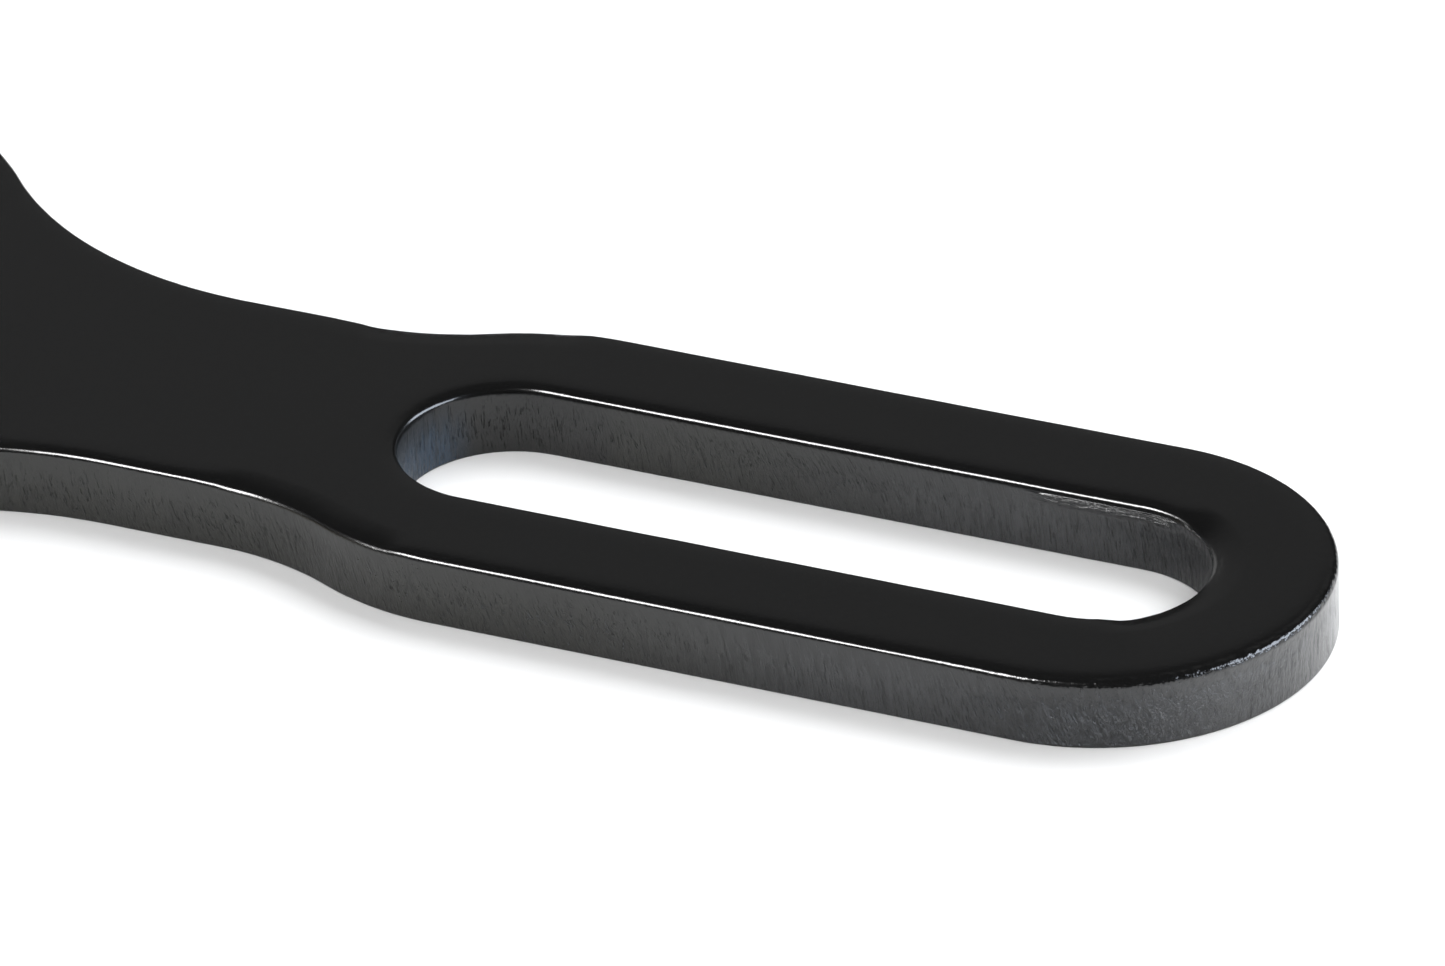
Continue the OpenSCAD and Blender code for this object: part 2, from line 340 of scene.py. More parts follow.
class Shader:
    """The nodes of one material."""

    def __init__(self, name, **constants):
        self.material = bpy.data.materials.new(name)
        self.material.use_nodes = True
        self.nodes = self.material.node_tree.nodes
        self.surface = self.nodes["Principled BSDF"]
        for socket, value in constants.items():
            self.surface.inputs[socket.replace("_", " ")].default_value = value

    def feed(self, socket, value):
        if isinstance(value, Value):
            self.material.node_tree.links.new(value.socket, socket)
        else:
            socket.default_value = value

    def node(self, kind, settings, inputs, output=0):
        """Adds a node: first its settings, then the values or links of its sockets."""
        made = self.nodes.new(kind)
        for name, value in settings.items():
            setattr(made, name, value)
        for name, value in inputs.items():
            self.feed(made.inputs[name], value)
        return Value(self, made.outputs[output])

    def maths(self, operation, *values):
        return self.node("ShaderNodeMath", {"operation": operation}, dict(enumerate(values)))

    def place(self):
        """The point's own place, in millimetres."""
        coordinates = self.node("ShaderNodeTexCoord", {}, {}, "Object")
        return self.stretch(coordinates, (1 / MM, 1 / MM, 1 / MM))

    def stretch(self, vector, scale):
        return self.node("ShaderNodeVectorMath", {"operation": "MULTIPLY"}, {0: vector, 1: scale})

    def parts(self, vector):
        return self.node("ShaderNodeSeparateXYZ", {}, {"Vector": vector}, "X")

    def vector(self, x, y, z):
        return self.node("ShaderNodeCombineXYZ", {}, {"X": x, "Y": y, "Z": z})

    def reach(self, x, y):
        """How far off an upright axis is, x and y being measured from it."""
        settings = {"operation": "LENGTH"}
        return self.node("ShaderNodeVectorMath", settings, {0: self.vector(x, y, 0.0)}, "Value")

    def noise(self, vector, scale, detail=3.0, roughness=0.5):
        inputs = {"Vector": vector, "Scale": scale, "Detail": detail, "Roughness": roughness}
        return self.node("ShaderNodeTexNoise", {}, inputs, "Fac")

    def ramp(self, value, low, high, start=0.0, end=1.0):
        """Goes smoothly from start to end as the value goes from low to high."""
        settings = {"interpolation_type": "SMOOTHSTEP"}
        inputs = {"Value": value, "From Min": low, "From Max": high, "To Min": start, "To Max": end}
        return self.node("ShaderNodeMapRange", settings, inputs)

    def blend(self, share, one, other):
        """A colour between two, by share."""
        inputs = {"Factor": share, 6: one, 7: other}
        return self.node("ShaderNodeMix", {"data_type": "RGBA"}, inputs, 2)

    def finish(self, colour=None, roughness=None, height=None, depth=0.05, coat=None):
        """Feeds the surface. A height of 1 stands for a relief of depth millimetres."""
        if colour is not None:
            self.feed(self.surface.inputs["Base Color"], colour)
        if roughness is not None:
            self.feed(self.surface.inputs["Roughness"], roughness)
        if height is not None:
            bump = self.node("ShaderNodeBump", {}, {"Height": height, "Distance": depth * MM})
            self.feed(self.surface.inputs["Normal"], bump)
        if coat is not None:
            self.feed(self.surface.inputs["Coat Weight"], coat)
        return self.material


def dress(obj, material, slot, body, *nodes, angle=35):
    """Gives a finished piece its material and its smooth shading, and says where it belongs."""
    obj.data.materials.clear()
    obj.data.materials.append(material)
    only(obj)
    bpy.ops.object.shade_smooth_by_angle(angle=math.radians(angle))
    if body:
        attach(obj, body)
    if nodes:
        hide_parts(*nodes)
    print(obj.name, len(obj.data.polygons), "faces")
    return obj


# %% [markdown]
# ## Black coat
# The bar and the cheek have a thin satin black coat. On the flat faces it is even, with a trace
# of grain. The edges are as the press left them: the punch shears a plate's upper part smooth
# and breaks the rest away, which leaves fine upright lines that lean a little. The lines are
# noise that is stretched along Z, and a mask on the height keeps them on the walls.
#
# On the walls the steel shines through the coat, with painted light laid into its colour: painted shade
# makes the walls darker and warmer by the neck, painted light makes them lighter and bluer on the grip,
# painted shade darkens the round start of the slot, and a painted bluish reflection lies at the back of
# that round, stronger towards the bottom. About the tip a clear coat lies over the lines in streaks and
# takes the light. Two small flaws are relief alone, an uneven rim and a torn patch below the rim of the
# slot. Each of these is a mask, a product of ramps over X, Y or the height, that lets its own colour or
# noise through.

# %% Black coat


def black_coat(name, low, high):
    """Satin black on a plate that lies between two heights."""
    shader = Shader(name, IOR=1.56, Coat_Roughness=0.22)
    ramp, noise, blend = shader.ramp, shader.noise, shader.blend
    place = shader.place()
    parts = shader.parts(place)
    x, y, z = parts, parts.part("Y"), parts.part("Z")
    height = (z - low) * (1 / (high - low))

    # The walls, their upright lines, and the nearness to the tip, which makes the lines deeper.
    wall = ramp(height, 0.93, 0.86) * ramp(height, 0.0, 0.03)
    broken = ramp(height, 0.85, 0.35, 0.2, 1.0)
    lean = noise(place, 0.035, 1.0) * 0.8 - 0.22
    leaning = shader.vector(x + z * lean, y - z * lean * 0.5, z * 0.09)
    lines = noise(leaning, 2.2, 4.0, 0.7)
    scores = ramp(noise(leaning, 6.0, 2.0, 0.5), 0.56, 0.74) * broken
    tip = ramp(x, 62.0, 93.0)

    # The steel that shines through the coat on the walls, with painted light and shade laid into its
    # colour.
    # Painted light: the wall tone is darker and warmer by the neck and lighter and bluer on the grip, as
    # the light falls along the bar.
    shaded_neck_tone, lit_grip_tone = (0.0125, 0.0128, 0.0102, 1), (0.025, 0.0262, 0.0285, 1)
    # Painted shade and a painted bluish reflection, both for the walls in the round start of the slot.
    dark, reflected_blue = (0.002, 0.0022, 0.0026, 1), (0.018, 0.038, 0.066, 1)
    slot_turn = ramp(shader.reach(x - slot_start, y), 10.5, 9.5)
    # Where the painted bluish reflection lies: the back of the slot's round start, stronger towards the
    # bottom.
    blue_reflection_mask = slot_turn * ramp(x, slot_start - 5.5, slot_start - 8.4) * ramp(height, 1.0, 0.3, 0.2, 1.0)
    steel_and_painted_light = blend(ramp(x, 34.0, 64.0), shaded_neck_tone, lit_grip_tone)
    # Painted shade darkens the walls in the round start of the slot.
    steel_and_painted_light = blend(slot_turn * 0.7, steel_and_painted_light, dark)
    steel_and_painted_light = blend(blue_reflection_mask, steel_and_painted_light, reflected_blue)
    # Painted light: the broken * 0.4 term lightens the lower, broken part of the wall, which offsets the
    # floor's shade that it mirrors.
    bare = blend(lines * 1.8 - 0.5 + broken * 0.4, (0.001, 0.001, 0.001, 1), steel_and_painted_light)
    scored = blend(scores * 0.5, bare, (0.003, 0.003, 0.003, 1))
    colour = blend(wall, (0.0045, 0.0045, 0.0045, 1), scored)

    # The relief: lines, grain, the uneven rim and the torn patch.
    patches, grain = noise(place, 0.06, 2.0), noise(place, 2.6, 3.0)
    roughness = 0.16 + patches * 0.05 + grain * 0.03 + wall * 0.06
    rim_zone = ramp(height, 0.86, 0.92) * ramp(height, 0.995, 0.97)
    outer = ramp(shader.reach(x - grip_end, y), 12.0, 15.0)
    torn = ramp(x, 64.0, 68.0) * ramp(x, 78.0, 76.0) * ramp(y, 7.5, 8.2) * ramp(y, 9.1, 8.9)
    torn = torn * ramp(height, 0.7, 0.8) * ramp(height, 0.89, 0.86)
    relief = (lines * broken - scores * 0.3) * wall * (tip * 4.0 + 1.2) + grain * 0.04
    relief = relief + noise(place, 1.8, 2.0) * rim_zone * (tip * outer * 0.5 + 0.03)
    relief = relief + noise(shader.vector(x * 0.3, y, z * 1.5), 2.0, 3.0, 0.7) * torn * 1.6
    coat = wall * ramp(x, 80.0, 93.0) * ramp(lines, 0.2, 0.56)
    return shader.finish(colour, roughness, relief, 0.25, coat)


handle_black = black_coat("handle_black", 0.0, plate_t)
cheek_black = black_coat("cheek_black", cheek_z, top_z)
print("black coat for the bar and the cheek")

# %% [markdown]
# ## The two plates
# The punch that cuts a plate first draws its surface down and then shears it. So the upper face
# sags a little towards every edge, turns over a tight radius, and meets the sheared wall, while
# the lower rim stays nearly sharp. The plate is its outline filled and extruded up in steps, and
# each rim is a few insets that go a little further in and a little up: a quarter of an ellipse,
# and then the flatter sag. A hair-thin flat ring ends each rim, so that the smooth shading of the
# rim stops there and the flat faces stay flat.
#
# A flat face with holes is filled with long thin triangles, and some would fold over as an inset
# shrinks them. So after each inset the face is deleted and filled again inside its new rim. Last,
# a tiny random shift along the normals keeps the rolled rim from looking machined.

# %% Plates from outlines
ROLL_IN, ROLL_DOWN = 0.45, 0.5
LOWER_RIM = 0.12
FLAT_RING = 0.06
LONGEST_STEP = 3.5
LEVEL_PLAY = 0.0002
UNEVEN = 0.01
SAG = [(0.3, 0.05), (0.4, 0.035), (0.6, 0.015), (0.9, 0.005)]


def pick_flat_face(end):
    """Selects the faces at one end of the plate: max for the upper side, min for the lower."""
    level = end(v.co.z for v in bmesh.from_edit_mesh(bpy.context.object.data).verts)
    pick(lambda f: all(abs(v.co.z - level) < LEVEL_PLAY * MM for v in f.verts))


def refill():
    """Fills the selected flat face again inside its new rim."""
    bpy.ops.mesh.delete(type="FACE")
    pick(lambda e: e.is_boundary, "EDGE")
    bpy.ops.mesh.fill(use_beauty=True)
    face_out()


def rim(end, inward, along, steps, sag=()):
    """Insets the flat face along a quarter ellipse and a sag, then adds the flat ring."""
    angles = [math.pi / 2 * k / steps for k in range(steps + 1)]
    turns = [(inward * (math.cos(a) - math.cos(b)), along * (math.sin(b) - math.sin(a)))
             for a, b in zip(angles, angles[1:])]
    for thickness, depth in (*turns, *sag, (FLAT_RING, 0.0)):
        pick_flat_face(end)
        bpy.ops.mesh.inset(thickness=thickness * MM, depth=depth * MM, use_boundary=True)
        refill()


def mirrored_outline(obj):
    """Completes half an outline across the centreline."""
    done()
    modify(obj, "MIRROR", use_axis=(False, True, False), use_clip=True, merge_threshold=0.02 * MM)
    edit(obj)


def hole(radius, at, z, vertices=48):
    """Adds a round hole's rim to the outline that is being drawn."""
    place = (at[0] * MM, at[1] * MM, z * MM)
    bpy.ops.mesh.primitive_circle_add(vertices=vertices, radius=radius * MM, location=place)


def thicken(obj, low, high, seed):
    """Makes an outline, drawn at the top of the lower rim, into a plate between two heights."""
    weld(0.01)
    bpy.ops.mesh.fill(use_beauty=True)
    while pick(lambda e: e.is_boundary and e.calc_length() / MM > LONGEST_STEP, "EDGE"):
        bpy.ops.mesh.subdivide()
    all_of_it()
    wall_top = high - ROLL_DOWN - sum(depth for _, depth in SAG)
    levels = [low + LOWER_RIM, low + LOWER_RIM + FLAT_RING, wall_top - FLAT_RING, wall_top]
    for below, above in zip(levels, levels[1:]):
        bpy.ops.mesh.extrude_region_move(TRANSFORM_OT_translate={"value": (0, 0, (above - below) * MM)})
    face_out()
    rim(max, ROLL_IN, ROLL_DOWN, 6, SAG)
    rim(min, LOWER_RIM, LOWER_RIM, 3)
    rolled = (wall_top + 0.05 * ROLL_DOWN, wall_top + 0.97 * ROLL_DOWN)
    pick(lambda v: rolled[0] < v.co.z / MM < rolled[1], "VERT")
    bpy.ops.transform.vertex_random(offset=UNEVEN * MM, uniform=0.0, normal=1.0, seed=seed)
    done()
    return obj


def drawn_down(obj, test, depth, reach):
    """Sinks the rim near the places on the upper wall that pass the test."""
    edit(obj)
    found = pick(lambda v: v.co.z / MM > plate_t / 2 and test(v.co / MM), "VERT")
    bpy.ops.transform.translate(
        value=(0, 0, -depth * MM), use_proportional_edit=True, proportional_size=reach * MM,
        proportional_edit_falloff="SMOOTH",
    )
    done()
    return found


# %% [markdown]
# The outline of the bar is half a shape and its mirror image. From the tip of the grip it runs
# back along the side, narrows at the shoulder into the neck, flares into the round head, turns
# round the ear that carries the front pin, and hollows across the nose, where the work sits.

# %% The outline's own sums


def polar(centre, radius, degrees):
    a = math.radians(degrees)
    return Vector((centre[0] + radius * math.cos(a), centre[1] + radius * math.sin(a)))


def bearing(start, end):
    return math.degrees(math.atan2(end[1] - start[1], end[0] - start[0]))


def turn_to(centre, start, end_angle):
    """Degrees from the pen's place to an angle, both about one centre."""
    return end_angle - bearing(centre, start)


flare_c = Vector((-flare_start, neck_w / 2 + flare_r))
head_c = Vector((flare_c.x - math.sqrt((flare_r + head_r) ** 2 - flare_c.y**2), 0))
flare_turn = math.degrees(math.acos(flare_c.y / (flare_r + head_r)))
shoulder_turn = math.degrees(math.acos(1 - (grip_w - neck_w) / 4 / shoulder_r))
shoulder_half = shoulder_r * math.sin(math.radians(shoulder_turn))
pinch = (anchor - tight).length
anchor_a = bearing(tight, anchor)
print("degrees of turn: shoulder", round(shoulder_turn, 1), "and flare", round(flare_turn, 1))


def ear_start(back_r):
    """Where the round back, of that radius, runs into the ear."""
    spread = math.degrees(math.acos((back_r - ear_r) / (anchor - head_c).length))
    return bearing(head_c, anchor) - spread


def ear_and_nose(back_r):
    """From the round back over the ear to the middle of the nose."""
    start = ear_start(back_r)
    arc_about(*head_c, turn_to(head_c, pen_at(), start))
    line_to(*polar(anchor, ear_r, start))
    arc_about(*anchor, 180 + anchor_a - start)
    arc_about(*tight, -anchor_a)


# %% The bar
handle = pen_down("handle", grip_end + grip_w / 2, 0, LOWER_RIM)
arc_about(grip_end, 0, 90)
line_to(shoulder_mid + shoulder_half, grip_w / 2)
arc_about(shoulder_mid + shoulder_half, grip_w / 2 - shoulder_r, shoulder_turn)
arc_about(shoulder_mid - shoulder_half, neck_w / 2 + shoulder_r, -shoulder_turn)
line_to(-flare_start, neck_w / 2)
arc_about(*flare_c, -flare_turn)
ear_and_nose(head_r)
mirrored_outline(handle)
pen_moved(slot_end, -slot_w / 2, LOWER_RIM)
arc_about(slot_end, 0, 180)
line_to(slot_start, slot_w / 2)
arc_about(slot_start, 0, 180)
line_to(slot_end, -slot_w / 2)
for pin in (anchor, heel):
    hole(screw_d / 2, pin, LOWER_RIM)
for post in posts.values():
    hole(screw_d / 2 + 0.1, post, LOWER_RIM)
thicken(handle, 0.0, plate_t, seed=4)
print("bar:", len(handle.data.vertices), "vertices")

# %% [markdown]
# At the shoulders and at the slot's far end the punch drew the steel down further. There the rim
# is sunk by a move with proportional editing, which fades with the distance, so the dip has no
# edge of its own.

# %% Drawn-down rims
UPPER_WALL = plate_t - 0.3
SHOULDER_SINK, SLOT_SINK, SINK_REACH = 0.2, 0.32, 2.8
SINK_HALF, SINK_SHIFT, SLOT_BACK = 7.5, 2, 5


def on_shoulder(p):
    beside = abs(p.x + SINK_SHIFT - shoulder_mid) < SINK_HALF and abs(p.y) > neck_w / 2 - 0.05
    return beside and p.z < UPPER_WALL


def on_slot_end(p):
    inside = math.hypot(p.x - slot_end, p.y) < slot_w / 2 + 0.1 and p.x > slot_end + SLOT_BACK
    return inside and p.z < UPPER_WALL


print("drawn down at the shoulders:", drawn_down(handle, on_shoulder, SHOULDER_SINK, SINK_REACH))
print("drawn down at the slot's end:", drawn_down(handle, on_slot_end, SLOT_SINK, SINK_REACH))

# %% [markdown]
# The screws of the rear posts are sunk into the underside, so that the bar lies flat. Each
# countersink is cut by a right-angled cone. It starts below the plate, because a cutter whose
# face lies in the face that it cuts can leave slivers.

# %% Countersinks
for post in posts.values():
    sink = turned("sink", post, [(0, -1), (7.5, -1), (3, 3.5), (0, 3.5)], rounding=0)
    cut(handle, sink)
dress(handle, handle_black, "plate", "wrench", "handle_plate")

# %% [markdown]
# The cheek is drawn with the strokes of the bar's head, but about a smaller round back, so its
# ears and its nose lie over the bar's.

# %% The cheek
cheek = pen_down("cheek", head_c.x + cheek_r, 0, cheek_z + LOWER_RIM)
ear_and_nose(cheek_r)
mirrored_outline(cheek)
for pin in (anchor, heel):
    hole(pin_d / 2 + 0.05, pin, cheek_z + LOWER_RIM)
for post in posts.values():
    hole(screw_d / 2 + 0.1, post, cheek_z + LOWER_RIM)
thicken(cheek, cheek_z, top_z, seed=7)
dress(cheek, cheek_black, "plate", "wrench", "cheek_plate")

# %% [markdown]
# ## Metals
# The screws, nuts and washers are bright zinc, with the faint blue cast and the cloudy gloss of
# plating. Turned pieces also carry the tool's feed marks: fine rings, one above the other, on
# their outside. The thrust washers are brass.

# %% Metals


def plated(name, colour, rings=0.0, roughness=0.27):
    """Bare or plated metal. rings is how much the feed marks of the lathe show."""
    shader = Shader(name, Metallic=1.0)
    place = shader.place()
    clouds = shader.noise(place, 0.35, 3.0)
    grain = shader.noise(place, 7.0, 2.0)
    dark = [c * 0.88 for c in colour]
    height = grain * 0.25
    if rings:
        upright = shader.vector(0.0, 0.0, shader.parts(place).part("Z"))
        height = height + shader.noise(upright, 4.0, 3.0, 0.7) * rings
    tone = shader.blend(shader.ramp(clouds, 0.35, 0.7), (*colour, 1), (*dark, 1))
    return shader.finish(tone, roughness + clouds * 0.1 + grain * 0.05, height, 0.02)


zinc = plated("zinc", (0.56, 0.58, 0.6))
turned_zinc = plated("turned_zinc", (0.62, 0.64, 0.66), rings=1.0)
brass = plated("brass", (0.78, 0.58, 0.28), rings=0.4, roughness=0.3)
print("metals ready")

# %% [markdown]
# ## Shoulder screws
# The two front pins are shoulder screws. A short thread goes into the bar, the ground shoulder
# spans the gap and passes through the cheek, and the head stands on top, with a straight knurl
# and a hexagon socket. The knurl is every second line of the head's wall moved inwards, and the
# socket is cut by a hexagonal prism under a shallow cone.

# %% Shoulder screws
HEAD_D, HEAD_H, HEX_KEY = 13, 5.5, 4
KNURL_STEPS, GROOVE_SHARE = 108, 0.955


def hex_socket(obj, at, mouth, depth, upward=1):
    """Cuts a hexagon socket into a face at the height mouth, with a countersunk edge."""
    bottom = mouth - upward * depth
    key_r = HEX_KEY / 2 / math.cos(math.radians(30))
    low, high = sorted((bottom, mouth + upward))
    cut(obj, prism("key", 6, key_r, low, high, at))
    wide, small = key_r + 0.35, key_r - 0.25
    outer, inner = mouth + upward * 0.3, mouth - upward * 0.45
    cone = [(0, outer), (wide + 0.1, outer), (small, inner), (0, inner)]
    cut(obj, turned("lead_in", at, cone, steps=36, rounding=0))


def shoulder_screw(name, at):
    thread_r, shoulder, cap_r = screw_d / 2 - 0.05, pin_d / 2, HEAD_D / 2
    head_top = top_z + HEAD_H
    screw = turned(
        name, at,
        [(0, 0.2), (thread_r - 0.5, 0.2), (thread_r, 0.7), (thread_r, plate_t), (shoulder, plate_t),
         (shoulder, top_z), (cap_r - 0.1, top_z), (cap_r, top_z + 0.6), (cap_r, head_top - 1.0),
         (cap_r - 0.8, head_top), (0, head_top)],
        steps=KNURL_STEPS, rounding=0.12,
    )
    knurl_low, knurl_high = top_z + 0.55, head_top - 0.95

    def on_knurl(p):
        return math.hypot(p.x - at[0], p.y - at[1]) > cap_r - 0.15 and knurl_low < p.z < knurl_high

    grooved(screw, at, 2, KNURL_STEPS, GROOVE_SHARE, on_knurl)
    hex_socket(screw, at, head_top, 3)
    return screw


for name, pin in (("anchor", anchor), ("heel", heel)):
    screw = shoulder_screw(f"{name}_pin", pin)
    dress(screw, zinc, "hardware", "wrench", f"{name}_screw", angle=28)

# %% [markdown]
# ## Rear posts
# Each rear post is a sleeve between the plates, clamped by a countersunk screw from below and a
# lock nut on a plain washer above. The nut is a hexagonal prism and a turned shape cut down to
# what both share: that rounds the hexagon's corners as a cone does on a real nut, and leaves the
# round collar that holds the nylon ring. The screw's tip stands out of the nut by one turn of
# thread, made by a Screw modifier, which winds the outline of a small tooth round the axis. Its
# two open ends are then filled.

# %% Rear posts
NUT_FLATS, NUT_H, WASHER_D, WASHER_T, SLEEVE_D = 10, 6, 12, 1.6, 12
CONE_R, CONE_TOP = 6, 3.2
PITCH, THREAD_STEPS = 1.0, 48
bore_r = screw_d / 2 + 0.15


def ring_profile(inner, outer, low, high, corner=0.0):
    """A rectangle, or one with its outer corners cut off."""
    if not corner:
        return [(inner, low), (outer, low), (outer, high), (inner, high)]
    return [(inner, low), (outer - corner, low), (outer, low + corner), (outer, high - corner),
            (outer - corner, high), (inner, high)]


def sleeve(side):
    obj = turned(f"{side}_sleeve", posts[side],
                 ring_profile(bore_r, SLEEVE_D / 2, plate_t, cheek_z, 0.5), ring=True, rounding=0.1)
    return dress(obj, turned_zinc, "hardware", "wrench", f"rear_spacer_{side}")


def washer(side):
    obj = turned(f"{side}_washer", posts[side],
                 ring_profile(bore_r, WASHER_D / 2, top_z, top_z + WASHER_T), ring=True, rounding=0.25)
    return dress(obj, zinc, "hardware", "wrench", f"rear_washer_{side}")


def lock_nut(side):
    low, high = top_z + WASHER_T, top_z + WASHER_T + NUT_H
    collar_z = high - 1.2
    bore, seat = screw_d / 2 + 0.05, screw_d / 2 + 0.9
    flat_r, collar_r = NUT_FLATS / 2, NUT_FLATS / 2 - 0.5
    corner_r = flat_r / math.cos(math.radians(30))
    shape = [(bore, low), (flat_r - 0.1, low), (corner_r, low + 0.45), (corner_r, collar_z - 0.45),
             (flat_r - 0.15, collar_z), (collar_r, collar_z + 0.05), (collar_r, high - 0.5),
             (collar_r - 0.6, high), (seat, high), (seat, collar_z + 0.3), (bore, collar_z + 0.3)]
    obj = turned(f"{side}_nut", posts[side], shape, ring=True, steps=72, rounding=0.08)
    cut(obj, prism("hexagon", 6, corner_r, low - 1, high + 1, posts[side]), "INTERSECT")
    dress(obj, zinc, "hardware", "wrench", f"rear_nut_{side}", angle=25)
    ring = ring_profile(bore - 0.03, seat - 0.05, collar_z + 0.35, high - 0.15)
    insert = turned(f"{side}_nylon", posts[side], ring, ring=True, rounding=0.2)
    return dress(insert, nylon, "hardware", "wrench")


def thread(name, at, low, high):
    """A right-hand thread between two heights. The tooth's foot lies inside the screw's core."""
    turns = (high - low) / PITCH - 1
    crest, foot = screw_d / 2, screw_d / 2 - 0.75 * PITCH
    obj = pen_down(name, foot, 0, low)
    for radius, share in ((crest, 0.4), (crest, 0.52), (foot, 0.92), (foot, 0)):
        line_to(radius, 0, low + share * PITCH)
    weld(0.005)
    done()
    steps = round(THREAD_STEPS * turns)
    modify(obj, "SCREW", angle=math.tau * turns, screw_offset=PITCH * turns * MM, steps=steps,
           render_steps=steps, use_smooth_shade=False)
    edit(obj)
    all_of_it()
    bpy.ops.mesh.fill_holes(sides=4)
    face_out()
    bpy.ops.transform.translate(value=(at[0] * MM, at[1] * MM, 0))
    done()
    return obj


def post_screw(side):
    at = posts[side]
    tip_z = top_z + WASHER_T + NUT_H + 1
    thread_z = top_z + WASHER_T + 2
    shank_r, core_r = screw_d / 2 - 0.1, screw_d / 2 - 0.55
    shape = [(0, 0.1), (CONE_R - 0.3, 0.1), (CONE_R, 0.35), (shank_r, CONE_TOP), (shank_r, thread_z),
             (core_r, thread_z), (core_r, tip_z - 0.3), (core_r - 0.25, tip_z), (0, tip_z)]
    obj = turned(f"{side}_screw", at, shape, rounding=0.06)
    hex_socket(obj, at, 0.1, 2.3, upward=-1)
    wound = thread("wound", at, thread_z - 0.2, tip_z - 0.25)
    only(obj)
    wound.select_set(True)
    bpy.ops.object.join()
    return dress(obj, zinc, "hardware", "wrench", f"rear_screw_{side}")


nylon_shader = Shader("nylon")
nylon_cloud = nylon_shader.noise(nylon_shader.place(), 1.5)
nylon_tone = nylon_shader.blend(nylon_cloud, (0.06, 0.15, 0.4, 1), (0.09, 0.2, 0.48, 1))
nylon = nylon_shader.finish(nylon_tone, nylon_cloud * 0.1 + 0.4)
for side in posts:
    sleeve(side)
    washer(side)
    lock_nut(side)
    post_screw(side)

# %% [markdown]
# ## Heel roller
# The strap leaves the loop round a steel roller that turns on the heel screw between two brass
# thrust washers. Shallow flutes run down the roller, so that the webbing turns it and does not
# slide on it. They are every fourth line of the wall moved in towards the axis.

# %% Heel roller
ROLLER_D, ROLLER_STEPS = 14, 128
pin_bore, roller_r = pin_d / 2 + 0.05, ROLLER_D / 2
roller_low, roller_high = levels_of("heel_roller")


def on_flutes(p):
    outside = math.hypot(p.x - heel.x, p.y - heel.y) > roller_r - 0.3
    return outside and roller_low + 0.3 < p.z < roller_high - 0.3


roller = turned("roller", heel, ring_profile(pin_bore, roller_r, roller_low, roller_high, 0.6),
                ring=True, steps=ROLLER_STEPS, rounding=0.12)
grooved(roller, heel, 4, ROLLER_STEPS, GROOVE_SHARE, on_flutes)
dress(roller, turned_zinc, "roller", "roller", "heel_roller", angle=50)
for name in ("lower", "upper"):
    low, high = levels_of(f"heel_washer_{name}")
    ring = turned(f"thrust_{name}", heel, ring_profile(pin_bore, roller_r - 0.5, low, high),
                  ring=True, rounding=0.12)
    dress(ring, brass, "thrust_washer", "wrench", f"heel_washer_{name}")

# %% [markdown]
# ## The way of the strap
# The strap is one band. A route on the floor plan gives its middle line as strokes of a length
# and a turn: from the end of the sewn lap, round the anchor pin, back along itself, round the
# work, between the work and the heel roller, out round the roller, and along the tail. Every
# piece of the strap takes its share of this one route, so their weaves run into each other.

# %% Route
WRAP_GAP, EYE_R, EYE_LEAN, EYE_BEND, LAP_TURN = 0.15, 4.2, 18, 12, 20
TAIL_RUN, TAIL_R, TAIL_TURN, CRIMP = 36, 95, 24, 13
half_t = strap_t / 2
fold_a = anchor_a + math.degrees(math.acos((work_r + strap_t) / pinch))
fold_l = math.sqrt(pinch**2 - (work_r + strap_t) ** 2)
wrap_r = roller_r + WRAP_GAP
entry_a = -anchor_a - math.degrees(math.acos((work_r + wrap_r + strap_t) / pinch))
entry_l = math.sqrt(pinch**2 - (work_r + wrap_r + strap_t) ** 2)
lean = math.radians(EYE_LEAN)
eye_mid_r = EYE_R + half_t
eye_straight = (eye_mid_r * math.cos(lean) - EYE_BEND * (1 - math.cos(lean)) - half_t) / math.sin(lean)
fork_l = (eye_mid_r + EYE_BEND) * math.sin(lean) + eye_straight * math.cos(lean)

# A stroke is a piece, a radius (None is straight, minus turns right), and degrees or a length.
strokes = [
    ("strap_eye", -(work_r + strap_t + half_t), LAP_TURN),
    ("strap_eye", None, fold_l - fork_l),
    ("strap_eye", EYE_BEND, EYE_LEAN),
    ("strap_eye", None, eye_straight),
    ("strap_eye", -eye_mid_r, 180 + 2 * EYE_LEAN),
    ("strap_eye", None, eye_straight),
    ("strap_eye", EYE_BEND, EYE_LEAN),
    ("strap_eye", None, fold_l - fork_l),
    ("strap_eye", work_r + half_t, 90 - fold_a),
    ("strap_side_left", None, side_l),
    ("strap_front", work_r + half_t, 180),
    ("strap_side_right", None, side_l),
    ("strap_entry", work_r + half_t, entry_a + 90),
    ("strap_entry", None, entry_l),
    ("strap_entry", -(wrap_r + half_t), 180 + entry_a),
    ("strap_tail_run", None, TAIL_RUN),
    ("strap_tail", -(TAIL_R + half_t), TAIL_TURN),
    ("strap_tail", None, CRIMP),
]


def lay_route():
    """Each stroke with its start: (piece, distance, place, heading, length, turn per millimetre)."""
    place = polar(tight, work_r + strap_t + half_t, fold_a + LAP_TURN)
    heading, distance, laid = fold_a + LAP_TURN - 90, 0.0, []
    for piece, radius, size in strokes:
        length = size if radius is None else abs(radius) * math.radians(size)
        bend = 0.0 if radius is None else math.degrees(1 / radius)
        laid.append((piece, distance, place, heading, length, bend))
        place = along(laid[-1], length)[0]
        heading, distance = heading + bend * length, distance + length
    return laid


